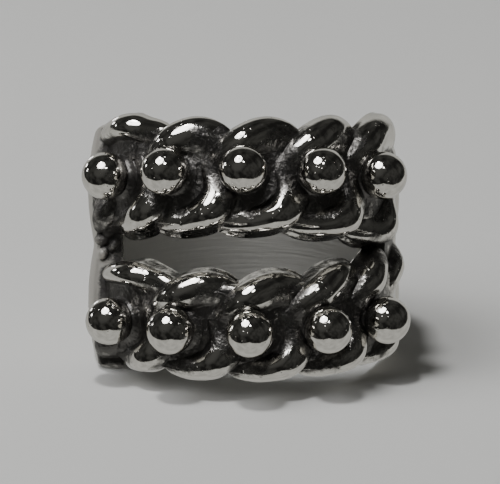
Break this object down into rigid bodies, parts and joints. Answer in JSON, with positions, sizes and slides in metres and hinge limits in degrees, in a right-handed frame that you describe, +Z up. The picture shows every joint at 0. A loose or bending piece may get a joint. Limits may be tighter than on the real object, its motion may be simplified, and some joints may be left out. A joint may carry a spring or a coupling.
{
  "type": "double-row keeper ring",
  "caption": "Finger ring cast in one piece: two rows of twisted rope set with round beads part in a V at the front and join at plain domed shoulders.",
  "frame": {"origin": "centre of the bounding box's bottom, on the surface that the ring lies on", "axes": "+Z up, front of the ring, with the beads, to -Y, and the finger hole's axis leaning back from +Z by 14.9 degrees to +Y"},
  "size_m": [0.0247, 0.0279, 0.0202],
  "materials": {
    "polished_silver": "polished sterling silver with a casting's pits, darkened in the deep places, satin in the finger hole"
  },
  "bodies": {
    "root": {"keeper_ring": "polished_silver"}
  },
  "joints": []
}
